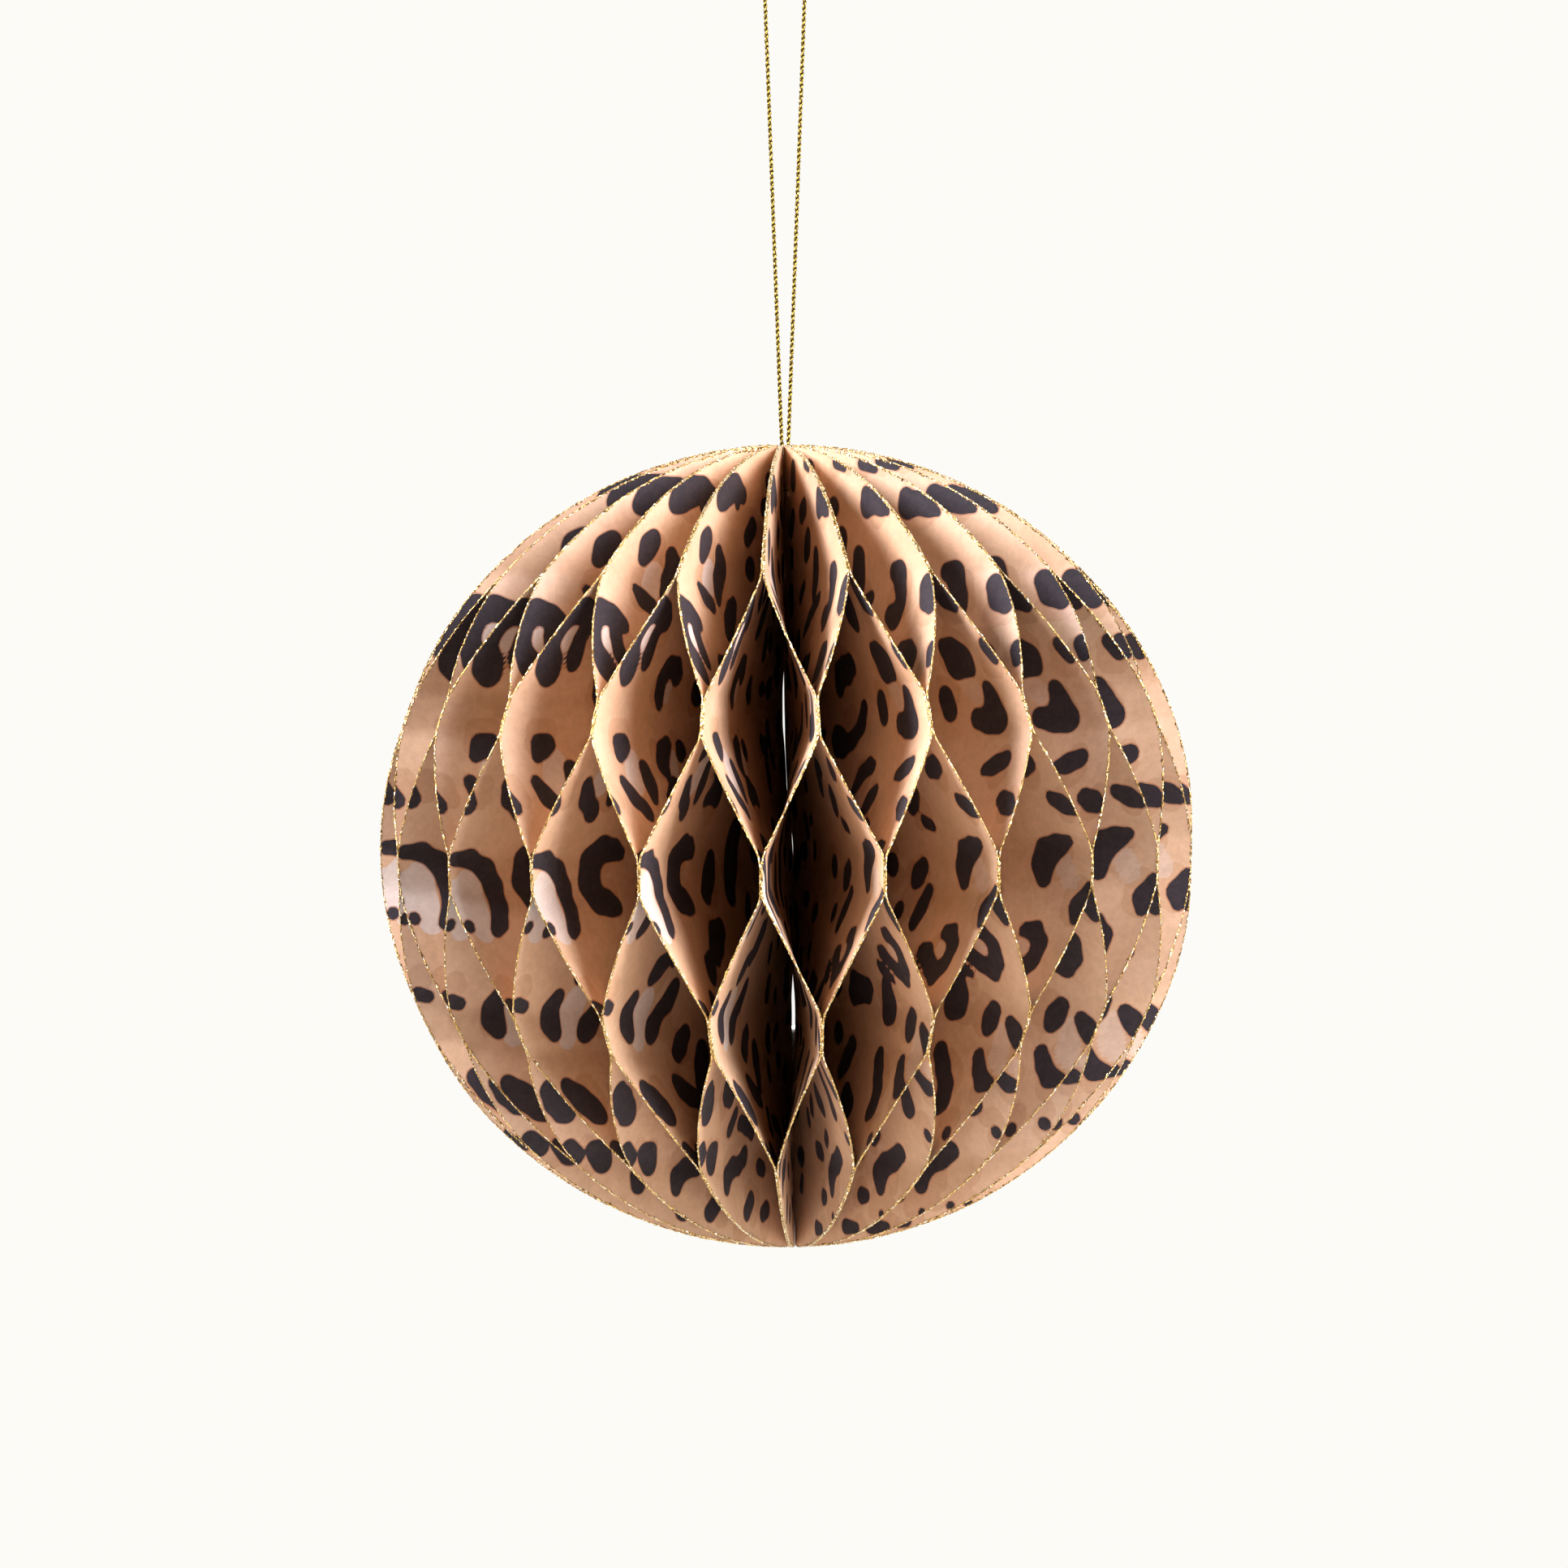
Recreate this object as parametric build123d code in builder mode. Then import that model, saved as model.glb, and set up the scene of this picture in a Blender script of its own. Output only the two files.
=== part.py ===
from build123d import *
import os
from math import asin, cos, degrees, pi, radians, sin, sqrt, tan

# ---------------------------------------------------------------------------
# Paper honeycomb ball that hangs from a cord loop.
#
# A stack of half-disc paper sheets is glued together along short stripes. Neighbouring
# sheets are glued at every second level, so the stack opens like a fan into a ball of
# tall diamond cells. A card cover closes each end of the stack. Disc magnets on the covers
# snap together at the back and hold the ball open.
#
# Frame: millimetres, +Z up, the cells are seen from -Y, the seam between the covers is at +Y.
# The origin is the hanging point, where a hook bears on the inside top of the cord loop.
# An angle around the ball is measured from -Y and grows towards +X.
# ---------------------------------------------------------------------------

# Ball
ball_radius = 50.0
ball_half_height = 49.2
hang_drop = 112.3  # from the hanging point down to the centre of the ball
core_end_radius = 1.9  # open core along the axis, near both poles
core_bulge = 2.8  # the core is this much wider at mid height

# Fan of sheets
sheet_count = 43
sheet_thickness = 0.18
glue_film = 0.02
fan_middle_angle = 0.0  # angle of the middle of the fan
sheet_pitch = 360.0 / sheet_count
closed_pitch = sheet_thickness + glue_film

# Glue levels, counted from the middle one, as heights above the centre of the ball
level_pitch = 18.9
middle_level = -1.7
outer_level = 2  # the last glued level is this many above or below the middle one
stripe_height = 3.2
bend_height = 1.6  # height over which a sheet bends away from its stripe
bend_share = bend_height / (2 * (level_pitch - stripe_height - bend_height))
tip_width = 0.5

# Covers and magnets
cover_thickness = 0.4
magnet_radius = 6.0
magnet_thickness = 1.1
magnet_reach = 28.0  # from the axis
magnet_height = 30.0  # above and below the centre of the ball
seam_offset = magnet_thickness + cover_thickness  # from the seam's middle to a glued cover face

# Cord
cord_diameter = 0.6
strand_spread = 0.35  # each strand's distance from the axis where it leaves the knot
hook_radius = 2.4
ring_radius = 4.4  # the cord runs round the core at this radius, through every sheet
ring_height = 43.7
ring_slope = 0.15  # rise of one end of the ring and fall of the other
ring_half_angle = 155.0
ring_steps = 12
cord_hole_diameter = 1.6
knot_height = 46.9
knot_half_height = 1.3
knot_half_width = 1.2
knot_gap = 0.4  # between the cord's two ends, inside the knot
knot_slot = 0.75  # width of the slot that both strands pass through


def fan_angle(plane):
    """Angle of a glue plane; plane 0 is on the left cover and the last one on the right cover."""
    return fan_middle_angle + (plane - sheet_count / 2) * sheet_pitch


def fan_offset(plane):
    """How far a glue plane passes from the axis, because the seam takes up some width."""
    return seam_offset * (1 - 2 * plane / sheet_count)


def outward(angle):
    """Horizontal unit vector that points away from the axis."""
    return Vector(sin(radians(angle)), -cos(radians(angle)), 0)


def sideways(angle):
    """Horizontal unit vector towards growing angles."""
    return Vector(cos(radians(angle)), sin(radians(angle)), 0)


def in_ball(point):
    """A point given from the centre of the ball, in the frame of the part."""
    return Vector(*point) + Vector(0, 0, -hang_drop)


def rim_radius(height):
    """Outline of the ball."""
    return ball_radius * sqrt(1 - (height / ball_half_height) ** 2)


def core_radius(height):
    """The core is wider between the outer glue levels."""
    share = min(1.0, abs(height) / (outer_level * level_pitch))
    return core_end_radius + core_bulge * (1 - share**2)


def swing(height):
    """Place of an odd sheet between its two glue planes: +1 on the upper one, -1 on the lower."""
    steps = (height - middle_level) / level_pitch
    steps = max(-outer_level, min(outer_level, steps))
    nearest = round(steps)
    side = 1 if nearest % 2 == 0 else -1
    away = abs(steps - nearest) * level_pitch - stripe_height / 2
    if away <= 0:
        return side
    slope = 4 * bend_share / bend_height
    if away < bend_height:
        return side * (1 - slope * away**2 / (2 * bend_height))
    return side * (1 - slope * (away - bend_height / 2))


def section_heights():
    """Heights at which a sheet's outline or its bend changes."""
    heights = []
    for level in range(-outer_level, outer_level + 1):
        centre = middle_level + level * level_pitch
        for step in (stripe_height / 2, stripe_height / 2 + bend_height):
            heights += [centre - step, centre + step]
    for level in range(-outer_level, outer_level):
        heights.append(middle_level + (level + 0.5) * level_pitch)
    tip = ball_half_height * sqrt(1 - ((core_end_radius + tip_width) / ball_radius) ** 2)
    for latitude in (62, 67, 72, 77, 81, 84.5):
        heights += [-ball_half_height * sin(radians(latitude)), ball_half_height * sin(radians(latitude))]
    return sorted(heights + [-tip, tip])


def finish(builder, name):
    """Name a finished piece and write its file."""
    builder.part.label = name
    export_step(builder.part, f"parts/{name}.step")


os.makedirs("parts", exist_ok=True)

# Sheets: each is a ruled strip that swings between its two glue planes as it goes up
for number in range(1, sheet_count + 1):
    parity = 1 if number % 2 == 1 else -1
    middle_angle = (fan_angle(number - 1) + fan_angle(number)) / 2
    middle_offset = (fan_offset(number - 1) + fan_offset(number)) / 2
    offset_step = (fan_offset(number) - fan_offset(number - 1)) / 2
    with BuildPart() as sheet:
        for height in section_heights():
            place = parity * swing(height)
            angle = middle_angle + place * sheet_pitch / 2
            offset = middle_offset + place * (offset_step - closed_pitch / 2)
            inner, outer = core_radius(height), rim_radius(height)
            with BuildSketch(Plane(origin=in_ball((0, 0, height)), x_dir=outward(angle), z_dir=(0, 0, 1))):
                with Locations(((inner + outer) / 2, offset)):
                    Rectangle(outer - inner, sheet_thickness)
        loft(ruled=True)
        # hole for the cord, near the top of the straight edge
        place = parity * swing(ring_height)
        angle = middle_angle + place * sheet_pitch / 2
        offset = middle_offset + place * (offset_step - closed_pitch / 2)
        hole_centre = outward(angle) * sqrt(ring_radius**2 - offset**2) + sideways(angle) * offset
        hole_centre += in_ball((0, 0, ring_height))
        with BuildSketch(Plane(origin=hole_centre, x_dir=outward(angle), z_dir=sideways(angle))):
            Circle(cord_hole_diameter / 2)
        extrude(amount=closed_pitch, both=True, mode=Mode.SUBTRACT)
    finish(sheet, f"sheet_{number:02d}")

# Covers: flat half-discs of card, each with two magnets on its seam side
for side, plane in (("left", 0), ("right", sheet_count)):
    towards_seam = -1 if side == "left" else 1
    angle = fan_angle(plane)
    seam_normal = sideways(angle) * towards_seam
    glued_face = in_ball((0, 0, 0)) + sideways(angle) * fan_offset(plane)
    card_plane = Plane(origin=glued_face, x_dir=outward(angle), z_dir=seam_normal)
    card_up = card_plane.y_dir.Z  # +1 or -1: which way the card's own Y axis points
    corner = degrees(asin(sqrt(1 - (core_end_radius / ball_radius) ** 2)))
    with BuildPart() as cover:
        with BuildSketch(card_plane):
            with BuildLine():
                rim = EllipticalCenterArc((0, 0), ball_radius, ball_half_height, -corner, arc_size=2 * corner)
                Line(rim @ 1, rim @ 0)
            make_face()
            with Locations((sqrt(ring_radius**2 - fan_offset(plane) ** 2), card_up * ring_height)):
                Circle(cord_hole_diameter / 2, mode=Mode.SUBTRACT)
        extrude(amount=cover_thickness)
    finish(cover, f"{side}_cover")
    for end, direction in (("upper", 1), ("lower", -1)):
        with BuildPart() as magnet:
            with BuildSketch(card_plane.offset(cover_thickness)):
                with Locations((magnet_reach, card_up * direction * magnet_height)):
                    Circle(magnet_radius)
            extrude(amount=magnet_thickness)
            chamfer(magnet.edges().filter_by(GeomType.CIRCLE), 0.15)
        finish(magnet, f"{end}_{side}_magnet")

# Cord: one length that starts in the knot, runs round the core through every sheet, comes
# back to the knot, goes up, over the hook and down into the knot again
loop_radius = hook_radius + cord_diameter / 2
loop_turn = 60.0  # the loop rounds the hook in three turns
loop_run = 2 * loop_radius * tan(radians(loop_turn / 2))
loop_arc = 0.45 * loop_run / tan(radians(loop_turn / 2))
loop_apex = hang_drop + cord_diameter / 2 + loop_arc * (1 / cos(radians(loop_turn / 2)) - 1)
loop_side = loop_apex - loop_run * sin(radians(loop_turn / 2))

route = [
    (strand_spread, 0.0, knot_height - knot_gap / 2),
    (strand_spread, 0.0, 45.4),
    (0.5, 1.4, 44.5),
    (0.45, 3.1, 44.2),
    (-0.45, 4.15, 44.0),
]
for step in range(ring_steps + 1):
    share = 2 * step / ring_steps - 1
    way = outward(share * ring_half_angle) * ring_radius
    route.append((way.X, way.Y, ring_height - share * ring_slope))
route += [
    (0.45, 4.15, 43.3),
    (-0.45, 3.1, 43.2),
    (-0.5, 1.4, 43.5),
    (-strand_spread, 0.0, 44.6),
    (-strand_spread, 0.0, 48.0),
    (-loop_radius, 0.0, loop_side),
    (0.0, 0.0, loop_apex),
    (loop_radius, 0.0, loop_side),
    (strand_spread, 0.0, 48.0),
    (strand_spread, 0.0, knot_height + knot_gap / 2),
]
points = [in_ball(point) for point in route]
radii = []
for before, here, after in zip(points, points[1:], points[2:]):
    turn = (here - before).get_angle(after - here)
    shorter = min((here - before).length, (after - here).length)
    radii.append(0.45 * shorter / tan(radians(turn / 2)))
print("cord arc radii:", [round(radius, 1) for radius in radii])

with BuildPart() as cord:
    with BuildLine():
        cord_path = FilletPolyline(*points, radius=radii)
    with BuildSketch(Plane(origin=cord_path @ 0, z_dir=cord_path % 0)):
        Circle(cord_diameter / 2)
    sweep()
cord_section = pi * cord_diameter**2 / 4
print("cord length:", round(cord_path.length, 1))
print("cord volume / (section x length):", round(cord.part.volume / (cord_section * cord_path.length), 4))
finish(cord, "hanging_cord")

# Knot: a small lump around both strands
with BuildPart() as knot:
    with BuildSketch(Plane.XZ):
        with BuildLine():
            lump = EllipticalCenterArc(
                (0, knot_height - hang_drop), knot_half_width, knot_half_height, -90, arc_size=180
            )
            Line(lump @ 1, lump @ 0)
        make_face()
    revolve(axis=Axis.Z)
    with BuildSketch(Plane(origin=in_ball((0, 0, knot_height)))):
        SlotCenterToCenter(2 * strand_spread, knot_slot)
    extrude(amount=knot_half_height, both=True, mode=Mode.SUBTRACT)
finish(knot, "cord_knot")
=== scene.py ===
from math import asin, cos, pi, radians, sin, sqrt, tan

import bpy
import numpy as np
from mathutils import Matrix, Vector


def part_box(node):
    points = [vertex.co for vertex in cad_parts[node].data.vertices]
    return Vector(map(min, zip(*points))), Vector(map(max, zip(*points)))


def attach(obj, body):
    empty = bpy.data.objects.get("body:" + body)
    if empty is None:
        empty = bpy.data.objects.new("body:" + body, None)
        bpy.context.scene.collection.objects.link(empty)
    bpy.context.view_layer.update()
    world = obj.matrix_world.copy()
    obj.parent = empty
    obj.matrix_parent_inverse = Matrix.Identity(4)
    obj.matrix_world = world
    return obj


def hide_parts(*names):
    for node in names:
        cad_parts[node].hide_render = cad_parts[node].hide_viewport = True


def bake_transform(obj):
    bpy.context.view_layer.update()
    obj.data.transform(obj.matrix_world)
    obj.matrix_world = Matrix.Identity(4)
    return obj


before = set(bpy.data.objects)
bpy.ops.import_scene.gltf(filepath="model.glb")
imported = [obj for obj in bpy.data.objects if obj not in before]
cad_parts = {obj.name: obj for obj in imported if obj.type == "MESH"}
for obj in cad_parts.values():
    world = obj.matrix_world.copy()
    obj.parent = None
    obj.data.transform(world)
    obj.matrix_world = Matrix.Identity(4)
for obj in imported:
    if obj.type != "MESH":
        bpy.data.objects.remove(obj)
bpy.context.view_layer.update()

# ---------------------------------------------------------------------------
# Paper honeycomb ball: looks. Lengths are in millimetres from the centre of the ball
# until a mesh is made, and in metres in the frame after that.
# ---------------------------------------------------------------------------
MM = 0.001
cover_low, cover_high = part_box("left_cover")
BALL = Vector((0.0, 0.0, (cover_low.z + cover_high.z) / 2))  # centre of the ball
HANG_DROP = -BALL.z / MM  # from the hanging point down to the centre of the ball

# the same sizes as the CAD model
BALL_RADIUS, HALF_HEIGHT = 50.0, 49.2
CORE_END, CORE_BULGE = 1.9, 2.8
SHEETS, THICKNESS, CLOSED_PITCH = 43, 0.18, 0.20
FAN_MIDDLE, PITCH = 0.0, 360.0 / 43
LEVEL_PITCH, MIDDLE_LEVEL, OUTER_LEVEL = 18.9, -1.7, 2
STRIPE, BEND = 3.2, 1.6
BEND_SHARE = BEND / (2 * (LEVEL_PITCH - STRIPE - BEND))
COVER, SEAM_OFFSET = 0.4, 1.5
RING_RADIUS, RING_HEIGHT, RING_SLOPE, HOLE_RADIUS = 4.4, 43.7, 0.15, 0.8
RING_HALF_ANGLE = 155.0
CORD, STRAND, LOOP = 0.6, 0.35, 2.7
KNOT_HEIGHT, KNOT_GAP = 46.9, 0.4


def at(x, y, z):
    """A point given in millimetres from the centre of the ball, in the frame."""
    return Vector((x * MM, y * MM, z * MM)) + BALL


# --- camera ------------------------------------------------------------------
CAMERA_LIFT, CAMERA_ROLL = radians(2.1), radians(0.8)
AIM = at(-0.4, 0, 7.6)  # the middle of the picture; the camera is a metre away from it
camera_data = bpy.data.cameras.new("camera")
camera_data.lens, camera_data.sensor_width = 186.7, 36.0
camera = bpy.data.objects.new("camera", camera_data)
bpy.context.scene.collection.objects.link(camera)
camera.location = AIM + Vector((0, -cos(CAMERA_LIFT), sin(CAMERA_LIFT)))
tilt = Matrix.Rotation(pi / 2 - CAMERA_LIFT, 3, "X")
camera.rotation_euler = (tilt @ Matrix.Rotation(-CAMERA_ROLL, 3, "Z")).to_euler()
camera_data.clip_start = 0.05
bpy.context.scene.camera = camera


# --- node helpers --------------------------------------------------------------
def rgb(red, green, blue):
    """A display colour, 0 to 255, as the linear colour a shader takes."""
    values = []
    for v in (red, green, blue):
        v /= 255
        values.append(v / 12.92 if v <= 0.04045 else ((v + 0.055) / 1.055) ** 2.4)
    return (*values, 1.0)


def tinted(colour, shares):
    """A linear colour with its three channels scaled."""
    return (*[c * share for c, share in zip(colour, shares)], 1.0)


class Nodes:
    """Small wrapper that adds and links nodes of one tree."""

    def __init__(self, tree):
        self.tree = tree
        tree.nodes.clear()

    def add(self, kind, **settings):
        node = self.tree.nodes.new("ShaderNode" + kind)
        for key, value in settings.items():
            setattr(node, key, value)
        return node

    def put(self, value, socket):
        """Feed a socket from another socket, or set its constant."""
        if isinstance(value, bpy.types.NodeSocket):
            self.tree.links.new(value, socket)
        else:
            socket.default_value = value

    def attribute(self, name, output="Fac"):
        return self.add("Attribute", attribute_name=name).outputs[output]

    def math(self, operation, a, b=0.0):
        node = self.add("Math", operation=operation)
        self.put(a, node.inputs[0])
        self.put(b, node.inputs[1])
        return node.outputs[0]

    def ramp(self, value, low, high, out_low=0.0, out_high=1.0):
        """Map low..high smoothly to out_low..out_high, held at both ends."""
        node = self.add("MapRange", interpolation_type="SMOOTHSTEP")
        self.put(value, node.inputs["Value"])
        ends = {"From Min": low, "From Max": high, "To Min": out_low, "To Max": out_high}
        for key, number in ends.items():
            self.put(number, node.inputs[key])
        return node.outputs[0]

    def noise(self, vector, scale, detail=2.0, roughness=0.5, distortion=0.0):
        node = self.add("TexNoise")
        self.put(vector, node.inputs["Vector"])
        node.inputs["Scale"].default_value = scale
        node.inputs["Detail"].default_value = detail
        node.inputs["Roughness"].default_value = roughness
        node.inputs["Distortion"].default_value = distortion
        return node.outputs["Fac"]

    def mix(self, share, a, b, kind="MIX"):
        node = self.add("Mix", data_type="RGBA", blend_type=kind)
        self.put(share, node.inputs[0])
        self.put(a, node.inputs[6])
        self.put(b, node.inputs[7])
        return node.outputs[2]

    def toned(self, colour, share, dark, light):
        """The colour times a tone that runs from dark to light."""
        return self.mix(1.0, colour, self.mix(share, dark, light), "MULTIPLY")

    def bump(self, height, distance, strength):
        node = self.add("Bump")
        node.inputs["Strength"].default_value = strength
        node.inputs["Distance"].default_value = distance
        self.put(height, node.inputs["Height"])
        return node.outputs["Normal"]

    def finish(self, colour, roughness, normal=None, **constants):
        shader = self.add("BsdfPrincipled")
        self.put(colour, shader.inputs["Base Color"])
        self.put(roughness, shader.inputs["Roughness"])
        if normal is not None:
            self.put(normal, shader.inputs["Normal"])
        for key, value in constants.items():
            shader.inputs[key.replace("_", " ")].default_value = value
        out = self.add("OutputMaterial")
        self.put(shader.outputs[0], out.inputs[0])


def new_material(name):
    material = bpy.data.materials.new(name)
    material.use_nodes = True
    return material, Nodes(material.node_tree)


# --- materials -----------------------------------------------------------------
PAPER_STOCK = (0.665, 0.396, 0.212, 1.0)
INK_BLUR = 0.045  # half the width of an ink shape's soft edge


def paper_material(name, stock):
    """Printed paper. ink, pale and wash are distances in millimetres to the printed shapes, and
    flat is the point on the unfolded sheet, so that the print stays on the paper as it bends."""
    material, n = new_material(name)
    flat = n.attribute("flat", "Vector")
    ink, pale, wash = n.attribute("ink"), n.attribute("pale"), n.attribute("wash")
    cloud = n.noise(flat, 260, 3)
    mottle = n.noise(flat, 1100, 4, 0.65)
    fibre = n.noise(flat, 5200, 3, 0.7)
    # soft patches first, then pale ones, then the ink with its thin warm edge
    colour = n.mix(n.ramp(cloud, 0.35, 0.68), stock, tinted(stock, (0.93, 0.9, 0.87)))
    washed = n.math("MULTIPLY", n.ramp(wash, -0.1, 0.12, 1.0, 0.0), 0.85)
    colour = n.mix(washed, colour, tinted(stock, (0.84, 0.77, 0.7)))
    colour = n.mix(n.ramp(pale, -0.07, 0.07, 1.0, 0.0), colour, rgb(212, 188, 164))
    colour = n.toned(colour, n.ramp(mottle, 0.3, 0.72), (0.93, 0.92, 0.91, 1), (1.05, 1.05, 1.05, 1))
    colour = n.toned(colour, n.ramp(fibre, 0.3, 0.7), (0.95, 0.95, 0.95, 1), (1.04, 1.04, 1.04, 1))
    edge = n.ramp(n.math("ABSOLUTE", n.math("SUBTRACT", ink, 0.07)), 0.03, 0.13, 1.0, 0.0)
    colour = n.mix(n.math("MULTIPLY", edge, 0.75), colour, rgb(168, 100, 58))
    dark = n.mix(n.ramp(mottle, 0.35, 0.7), rgb(30, 17, 14), rgb(45, 29, 26))
    colour = n.mix(n.ramp(ink, -INK_BLUR, INK_BLUR, 1.0, 0.0), colour, dark)
    # the ink is duller than the paper
    rough = n.ramp(fibre, 0.3, 0.7, 0.48, 0.6)
    rough = n.math("ADD", rough, n.ramp(ink, -INK_BLUR, INK_BLUR, 0.3, 0.0))
    height = n.math("ADD", n.math("MULTIPLY", fibre, 0.6), n.math("MULTIPLY", mottle, 0.9))
    n.finish(colour, rough, n.bump(height, 0.00004, 0.5), IOR=1.53)
    return material


def glitter_material():
    """Grains of gold glitter in random tones, a share of them painted near-white as painted glints;
    grain is a number of each face.
    """
    material, n = new_material("glitter")
    grain = n.attribute("grain")
    warm = n.mix(n.ramp(grain, 0.1, 0.8), rgb(112, 76, 24), rgb(220, 178, 98))
    # painted glints: the grains with the highest numbers are painted near-white
    colour = n.mix(n.ramp(grain, 0.84, 0.9), warm, rgb(255, 242, 200))
    n.finish(colour, n.ramp(grain, 0.0, 1.0, 0.28, 0.5), Metallic=0.8)
    return material


def yarn_material():
    """Gold metallic yarn, with bright specks as painted highlights and painted shade towards the
    groove between the plies. flat runs along and round each ply, in metres, and groove is lowest
    where a ply touches its neighbour."""
    material, n = new_material("gold_yarn")
    flat = n.attribute("flat", "Vector")
    split = n.add("SeparateXYZ")
    n.put(flat, split.inputs[0])
    down = n.math("MULTIPLY", split.outputs[0], 14000)
    slant = n.math("ADD", down, n.math("MULTIPLY", split.outputs[1], 9000))
    stripe = n.ramp(n.math("SINE", slant), -0.8, 0.9)
    speckle = n.noise(flat, 4200, 3, 0.7)
    colour = n.mix(stripe, rgb(96, 74, 14), rgb(196, 158, 52))
    # painted highlights: bright specks where the speckle noise is high
    colour = n.mix(n.ramp(speckle, 0.58, 0.68), colour, rgb(255, 230, 140))
    colour = n.mix(n.ramp(speckle, 0.46, 0.32), colour, rgb(46, 36, 12))
    # painted shade: darker towards the groove, where a ply touches its neighbour
    colour = n.mix(n.ramp(n.attribute("groove"), -0.25, 0.55, 0.93, 0.0), colour, rgb(30, 22, 6))
    rough = n.ramp(speckle, 0.3, 0.7, 0.3, 0.5)
    n.finish(colour, rough, n.bump(stripe, 0.00003, 0.8), Metallic=0.75)
    return material


def magnet_material():
    """Nickel-plated disc magnet with fine turning marks and faint stains."""
    material, n = new_material("nickel")
    place = n.add("NewGeometry").outputs["Position"]
    stain = n.noise(place, 420, 4, 0.6)
    scratch = n.noise(place, 2600, 3, 0.75, 1.5)
    colour = n.mix(n.ramp(stain, 0.35, 0.7), rgb(196, 194, 190), rgb(168, 164, 156))
    rough = n.ramp(scratch, 0.3, 0.7, 0.2, 0.36)
    n.finish(colour, rough, n.bump(scratch, 0.00002, 0.35), Metallic=1.0)
    return material


paper = paper_material("printed_paper", PAPER_STOCK)
card = paper_material("printed_card", PAPER_STOCK)
glitter = glitter_material()
yarn = yarn_material()
nickel = magnet_material()


# --- cord ------------------------------------------------------------------------
LEAN_START, LEAN, LEAN_SLOPE = 48.0, 0.3, 0.0134
HALF_TURN = radians(30)  # the loop rounds the hook in three turns of 60 degrees


def ring_point(share):
    """The cord runs round the core from one side of the seam, share -1, to the other, 1."""
    angle = radians(RING_HALF_ANGLE * share)
    return (sin(angle) * RING_RADIUS, -cos(angle) * RING_RADIUS, RING_HEIGHT - share * RING_SLOPE)


def leaning(x, z):
    """The strands hang a little to the right of the ball's own axis, more so towards the hook."""
    return (x + LEAN + (z - LEAN_START) * LEAN_SLOPE, 0.0, z)


loop_run = 2 * LOOP * tan(HALF_TURN)
loop_arc = 0.45 * loop_run / tan(HALF_TURN)
loop_apex = HANG_DROP + CORD / 2 + loop_arc * (1 / cos(HALF_TURN) - 1)
loop_side = loop_apex - loop_run * sin(HALF_TURN)
route = [
    (STRAND, 0.0, KNOT_HEIGHT - KNOT_GAP / 2),
    (STRAND, 0.0, 45.4),
    (0.5, 1.4, 44.5),
    (0.45, 3.1, 44.2),
    (-0.45, 4.15, 44.0),
    *[ring_point(step / 6 - 1) for step in range(13)],
    (0.45, 4.15, 43.3),
    (-0.45, 3.1, 43.2),
    (-0.5, 1.4, 43.5),
    (-STRAND, 0.0, 44.6),
    leaning(-STRAND, 48.0),
    leaning(-0.48, 51.4),
    leaning(-2.57, 107.8),
    leaning(-LOOP, loop_side),
    leaning(0.0, loop_apex),
    leaning(LOOP, loop_side),
    leaning(2.57, 107.8),
    leaning(0.48, 51.4),
    leaning(STRAND, 48.0),
    (STRAND, 0.0, KNOT_HEIGHT + KNOT_GAP / 2),
]


def spline_points(points, name, resolution):
    """Points in the frame along a smooth curve with those control points."""
    curve = bpy.data.curves.new(name, "CURVE")
    curve.dimensions = "3D"
    spline = curve.splines.new("NURBS")
    spline.points.add(len(points) - 1)
    for point, place in zip(spline.points, points):
        point.co = (*at(*place), 1.0)
    spline.order_u = 3
    spline.use_endpoint_u = True
    spline.resolution_u = resolution
    holder = bpy.data.objects.new(name, curve)
    bpy.context.scene.collection.objects.link(holder)
    bpy.context.view_layer.update()
    line = bpy.data.meshes.new_from_object(holder)
    found = np.array([v.co[:] for v in line.vertices])
    bpy.data.meshes.remove(line)
    bpy.data.objects.remove(holder)
    bpy.data.curves.remove(curve)
    return found


def spaced(line, step):
    """The same line, as points about step apart."""
    lengths = np.linalg.norm(np.diff(line, axis=0), axis=1)
    keep = np.r_[True, lengths > 1e-9]
    line = line[keep]
    along = np.r_[0, np.cumsum(np.linalg.norm(np.diff(line, axis=0), axis=1))]
    count = max(2, int(round(along[-1] / step)) + 1)
    wanted = np.linspace(0, along[-1], count)
    return np.stack([np.interp(wanted, along, line[:, k]) for k in range(3)], 1), wanted


def frames(line):
    """A pair of unit vectors across each point of the line, with no sudden turn."""
    way = np.gradient(line, axis=0)
    way /= np.linalg.norm(way, axis=1)[:, None]
    first = np.cross(way[0], (0.31, 0.87, 0.2))
    first /= np.linalg.norm(first)
    side = [first]
    for k in range(1, len(line)):
        turned = side[-1] - way[k] * np.dot(side[-1], way[k])
        side.append(turned / np.linalg.norm(turned))
    side = np.array(side)
    return side, np.cross(way, side)


def mesh_object(name, vertices, faces, smooth, indices=None, materials=()):
    mesh = bpy.data.meshes.new(name)
    mesh.from_pydata(vertices.tolist(), [], faces.tolist())
    mesh.polygons.foreach_set("use_smooth", np.broadcast_to(smooth, len(faces)).astype(bool))
    for material in materials:
        mesh.materials.append(material)
    if indices is not None:
        mesh.polygons.foreach_set("material_index", indices.astype(np.int32))
    mesh.update()
    made = bpy.data.objects.new(name, mesh)
    bpy.context.scene.collection.objects.link(made)
    return made


def set_attribute(made, name, values, kind="FLOAT", domain="POINT"):
    attribute = made.data.attributes.new(name, kind, domain)
    values = np.ascontiguousarray(values, np.float32)
    attribute.data.foreach_set("vector" if kind == "FLOAT_VECTOR" else "value", values.ravel())


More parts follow.
